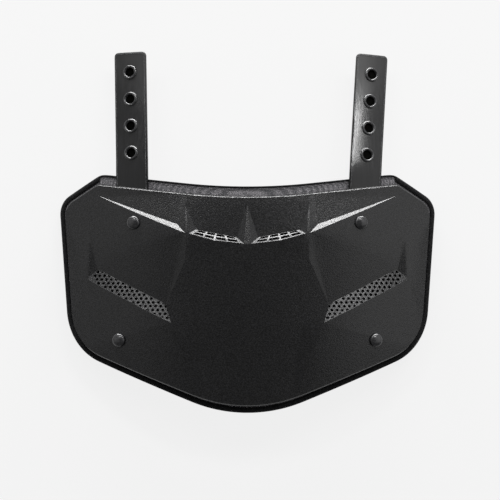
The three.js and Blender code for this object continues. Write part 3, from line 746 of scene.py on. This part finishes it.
bevel_creases(shell)
gaps = []
for side in (-1, 1):
    gaps += flank_loops(side) + slot_loops(side)
boolean(shell, joined_prisms("gaps", gaps, below, above), "DIFFERENCE")
notches = [strap_loop("left", GAP * 2), strap_loop("right", GAP * 2)]
boolean(shell, joined_prisms("notches", notches, below, STRAP_ROOF), "DIFFERENCE")
cut_and_roll(shell, step_u=6.0)
smooth(shell, 28)
finish_piece(shell, "plate_plastic", PLASTIC, "plate")


# Edge tape: a soft folded band, narrower on the front along the top edge
def front_shares(loop):
    shares = []
    for index in range(len(loop)):
        top = ease(-inward_at(loop, index).normalized().y, 0.9, 0.97)
        shares.append(1 - (1 - TOP_TAPE_WIDTH / TAPE_WIDTH) * top)
    return shares


tape_back = -GAP - TAPE_THICK
back_section = (
    (TAPE_WIDTH, -GAP), (TAPE_WIDTH, tape_back + 0.25), (TAPE_WIDTH - 0.3, tape_back),
    (2.6, tape_back - 0.05), (1.2, tape_back + 0.1), (0.35, tape_back + 0.8), (0.0, tape_back + 2.4),
)
front_section = (
    (0.0, TAPE_FRONT - 2.4), (0.3, TAPE_FRONT - 0.8), (1.1, TAPE_FRONT - 0.1),
    (2.6, TAPE_FRONT + 0.05), (TAPE_WIDTH - 0.3, TAPE_FRONT), (TAPE_WIDTH, TAPE_FRONT - 0.25),
    (TAPE_WIDTH, PAD_THICK + GAP),
)
fold_section = ((TAPE_THICK + 0.2, PAD_THICK + GAP - 0.1), (TAPE_THICK + 0.2, -GAP + 0.1))
tape_edge = dense_loop(tape_loop, 2.5)
narrow = front_shares(tape_edge)
tape_rings = []
for section, shares in ((back_section, None), (front_section, narrow), (fold_section, None)):
    for inset, level in section:
        tape_rings.append(roll_loop(inset_loop(tape_edge, inset, shares), level))
tape = ring_stack("edge_tape", tape_rings, closed=True)
smooth(tape, 60, weighted=False)
finish_piece(tape, "edge_tape", TAPE, "binding")

# Pad: a crowned foam body under the shell, pinched where the tape holds it
pad_loop = inset_loop(tape_edge, TAPE_THICK + GAP)
pad_middle = HEIGHT * 0.5


# The crown rises with the distance from the inner edge of the tape, quickly in front and slowly behind
def pad_level(distance, width, front):
    inside = max(0.0, distance + TAPE_THICK - width)
    if front:
        return PAD_THICK + 1.2 * (1 - math.exp(-inside / 2.2))
    return -1.6 * (1 - math.exp(-inside / 7.0))


def pad_ring(inset, front):
    ring = []
    pinch_depth, pinch_reach = 1.1, 1.5
    pinch = pinch_depth * (1 - inset / pinch_reach) if inset < pinch_reach else 0.0
    for index, (u, v) in enumerate(inset_loop(pad_loop, inset)):
        width = TAPE_WIDTH * narrow[index] if front else TAPE_WIDTH
        level = pad_level(inset, width, front) + (-pinch * narrow[index] if front else pinch)
        ring.append(roll(u, v, level) * MM)
    return ring


def pad_body():
    insets = (0.0, 0.5, 1.4, 2.4, 3.6, 4.8, 6.4, 8.6, 12.0, 17.0, 26.0)
    shares = (0.82, 0.64, 0.46, 0.28, 0.12)
    inner = inset_loop(pad_loop, insets[-1])
    middle_inset = 40
    rings = []
    for front in (False, True):
        side = [pad_ring(inset, front) for inset in insets]
        level = pad_level(middle_inset, TAPE_WIDTH, front)
        for share in shares:
            smaller = [(u * share, pad_middle + (v - pad_middle) * share) for u, v in inner]
            side.append(roll_loop(smaller, level))
        rings += side if front else side[::-1]
    return ring_stack("pad_body", rings)


pad = pad_body()
smooth(pad, 50, weighted=False)
finish_piece(pad, "pad_mesh", CLOTH, "pad")


# Straps with rounded edges and blind eyelet pockets
def disc_loop(u, v, radius, sides):
    return [(u + radius * math.cos(2 * math.pi * k / sides), v + radius * math.sin(2 * math.pi * k / sides))
            for k in range(sides)]


def eyelet_along(side_name, index):
    return STRAP_LENGTH[side_name] - EYELET_FROM_TIP - EYELET_PITCH * index


# The free strap sinks a little towards both of its edges
def strap_curl(side_name):
    angle = math.radians(STRAP_LEAN[side_name])
    foot = UPPER_RIVET[1] - STRAP_OVERLAP

    def curl(u, v):
        across = (abs(u) - STRAP_CENTRE - (v - foot) * math.tan(angle)) * math.cos(angle)
        return -STRAP_CURL * ease(v, strap_top, strap_top + DROOP_RUN) * (across * 2 / STRAP_WIDTH) ** 2

    return curl


edge_profile = ((0.7, 0.0), (0.25, 0.18), (0.0, 0.6), (0.0, STRAP_THICK - 0.7),
                (0.3, STRAP_THICK - 0.2), (0.8, STRAP_THICK))
for side_name in ("left", "right"):
    loop = dense_loop(strap_loop(side_name), 8.0)
    rings = [[(u, v, STRAP_BACK + level) for u, v in inset_loop(loop, inset)]
             for inset, level in edge_profile]
    strap = ring_stack("strap_" + side_name + "_hide", rings)
    centres = [strap_point(side_name, 0, eyelet_along(side_name, index))
               for index in range(EYELET_COUNT)]
    pockets = [disc_loop(u, v, EYELET_BORE / 2 + BARREL_WALL + GAP, 40) for u, v in centres]
    boolean(strap, joined_prisms("pockets", pockets, STRAP_BACK + STRAP_LINING, above), "DIFFERENCE")
    strap.data.materials.append(LEATHER)
    strap.data.materials.append(BACKING)
    for polygon in strap.data.polygons:
        floor_level = abs(polygon.center.z - STRAP_BACK - STRAP_LINING) < 0.01
        polygon.material_index = 1 if floor_level else 0
    cuts = [strap_top + DROOP_RUN * k / 8 for k in range(9)]
    cut_and_roll(strap, step_u=2.5, cuts_v=cuts, curl=strap_curl(side_name))
    smooth(strap, 35)
    finish_piece(strap, "strap_leather", LEATHER, "strap_" + side_name)


# Stitches sewn just inside the strap edges, each a short rounded bar
def stitch_row(name, points, curl):
    sections = ((0.12, 0.16, 0.02), (0.3, 0.3, 0.3), (0.62, 0.3, 0.3), (0.8, 0.16, 0.02))
    vertices, faces = [], []
    for here, there in zip(points, points[1:]):
        first = Vector(here)
        run = Vector(there) - first
        ahead = run.normalized()
        aside = Vector((-ahead.y, ahead.x))
        start = len(vertices)
        for share, half, lift in sections:
            for across, height in ((-half, -0.3), (-half * 0.7, lift), (half * 0.7, lift), (half, -0.3)):
                point = first + run * share + aside * across
                place = roll(point.x, point.y, STRAP_FRONT + height + curl(point.x, point.y))
                place.z -= droop_at(point.y)[0]
                vertices.append(place * MM)
        for level in range(3):
            low, high = start + level * 4, start + level * 4 + 4
            for step in range(4):
                beside = (step + 1) % 4
                faces.append((low + step, low + beside, high + beside, high + step))
        faces.append((start + 3, start + 2, start + 1, start))
        faces.append((start + 12, start + 13, start + 14, start + 15))
    obj = make_object(name, vertices, faces)
    face_out(obj)
    smooth(obj, 60, weighted=False)
    return obj


seam_inset, stitch_pitch, rivet_clear, row_gap = 1.5, 2.8, 9, 10
for side_name in ("left", "right"):
    seam = dense_loop(inset_loop(dense_loop(strap_loop(side_name), 1.0), seam_inset), stitch_pitch)
    shown = [point for point in seam if point[1] > UPPER_RIVET[1] + rivet_clear]
    split = next(i for i in range(len(shown)) if math.dist(shown[i - 1], shown[i]) > row_gap)
    ordered = shown[split:] + shown[:split]
    stitches = stitch_row("strap_" + side_name + "_stitches", ordered, strap_curl(side_name))
    finish_piece(stitches, "strap_leather", THREAD)


# Turned pieces: eyelet rings and domed rivets
def turned(name, profile, u, v, w, sides, closed, slope=(0.0, 0.0)):
    angle = u / BACK_RADIUS
    across = Vector((math.cos(angle), 0, -math.sin(angle)))
    outward = across.cross(Vector((0, 1, -slope[1]))).normalized()
    along = outward.cross(across)
    origin = roll(u, v, w)
    origin.z -= slope[0]
    spokes = [across * math.cos(2 * math.pi * k / sides) + along * math.sin(2 * math.pi * k / sides)
              for k in range(sides)]
    rings = [[(origin + outward * height + spoke * radius) * MM for spoke in spokes]
             for radius, height in profile]
    obj = ring_stack(name, rings, closed=closed)
    smooth(obj, 40, weighted=False)
    return obj


bore, flange, barrel = EYELET_BORE / 2, EYELET_FLANGE / 2, EYELET_BORE / 2 + BARREL_WALL
pocket_floor = GAP - (STRAP_THICK - STRAP_LINING)
ring_profile = (
    (bore, pocket_floor), (barrel, pocket_floor), (barrel, GAP), (flange - 0.05, GAP), (flange, GAP + 0.08),
    (flange - 0.15, GAP + 0.35), (flange - 0.5, GAP + 0.68), (flange - 0.9, GAP + 0.9),
    (flange - 1.3, GAP + 0.98), (flange - 1.7, GAP + 0.93), (bore + 0.5, GAP + 0.75),
    (bore + 0.2, GAP + 0.45), (bore, GAP + 0.1),
)
for side_name in ("left", "right"):
    for index in range(EYELET_COUNT):
        u, v = strap_point(side_name, 0, eyelet_along(side_name, index))
        name = f"eyelet_{side_name}_{index + 1}"
        ring = turned(name + "_ring", ring_profile, u, v, STRAP_FRONT, 48, True, droop_at(v))
        finish_piece(ring, "ring_metal", RING, name)

centre, shank, tail, seat_lift = 0.01, RIVET_SHANK / 2, RIVET_TAIL / 2, 0.12
for name, (across, up) in (("upper", UPPER_RIVET), ("lower", LOWER_RIVET)):
    for side_name, side in (("left", -1), ("right", 1)):
        u = across * side
        reach = RIVET_HEAD / 2
        rim = disc_loop(u, up, reach, 12)
        seat = max(face_height(*point) for point in rim) + seat_lift
        top = seat + GAP
        dome = [(reach * math.cos(a), top + RIVET_DOME * (0.2 + 0.8 * math.sin(a)))
                for a in (math.pi / 2 * k / 10 for k in range(10))]
        profile = [(centre, GAP), (tail, GAP), (tail, GAP + TAIL_THICK), (shank, GAP + TAIL_THICK),
                   (shank, top), (reach - 0.1, top), (reach, top + 0.1)] + dome
        profile.append((centre, top + RIVET_DOME))
        node = f"rivet_{name}_{side_name}"
        dome_piece = turned(node + "_dome", profile, u, up, 0, 40, False)
        finish_piece(dome_piece, "rivet_metal", DOME, node)


# Floor, light and camera
def stage_floor():
    half = 6
    corners = [(-half, -half, 0), (half, -half, 0), (half, half, 0), (-half, half, 0)]
    obj = make_object("floor", corners, [(0, 1, 2, 3)])
    material, _, principled = shader("floor_paper", (0.12, 0.12, 0.12), 0.9)
    principled.inputs["Specular IOR Level"].default_value = 0.0
    principled.inputs["Emission Color"].default_value = (1, 1, 1, 1)
    principled.inputs["Emission Strength"].default_value = 0.81
    obj.data.materials.append(material)


def area_light(name, place, target, size, size_y, power):
    data = bpy.data.lights.new(name, "AREA")
    data.shape = "RECTANGLE"
    data.size = size
    data.size_y = size_y
    data.energy = power
    obj = bpy.data.objects.new(name, data)
    bpy.context.scene.collection.objects.link(obj)
    obj.location = place
    obj.rotation_euler = (Vector(target) - Vector(place)).to_track_quat("-Z", "Y").to_euler()
    return obj


stage_floor()
world = bpy.data.worlds.new("studio")
world.use_nodes = True
background = next(node for node in world.node_tree.nodes if node.type == "BACKGROUND")
background.inputs["Color"].default_value = (1, 1, 1, 1)
background.inputs["Strength"].default_value = 0.15
bpy.context.scene.world = world
for lamp in (
    ("top_strip", (0, 3.0, 0.4), (0, 0, 0.05), 4.0, 0.65, 260),
    ("left_flank_box", (-0.9, 1.7, 2.3), (-0.1, 0, 0.05), 1.4, 0.3, 16),
    ("right_flank_box", (0.9, 1.7, 2.3), (0.1, 0, 0.05), 1.4, 0.3, 24),
    ("left_box", (-2.0, 0.2, 1.4), (0, 0, 0.05), 2.0, 2.0, 5),
    ("right_box", (2.0, 0.2, 1.4), (0, 0, 0.05), 2.0, 2.0, 10),
):
    area_light(*lamp)

# A small lamp for the sheen on the right strap alone
glint = area_light("right_strap_box", (1.06, 0.74, 1.66), (0.1, 0.1, 0.04), 0.12, 0.5, 7)
lit = bpy.data.collections.new("lit_by_strap_box")
lit.objects.link(bpy.data.objects["strap_right_hide"])
glint.light_linking.receiver_collection = lit

camera_height, view_width = 2.0, 0.4775
camera_data = bpy.data.cameras.new("camera")
camera_data.sensor_width = 36
camera_data.lens = 36 * camera_height / view_width
camera = bpy.data.objects.new("camera", camera_data)
bpy.context.scene.collection.objects.link(camera)
camera.location = (0.0024, -0.0175, camera_height)
bpy.context.scene.camera = camera
bpy.context.scene.view_settings.view_transform = "Standard"
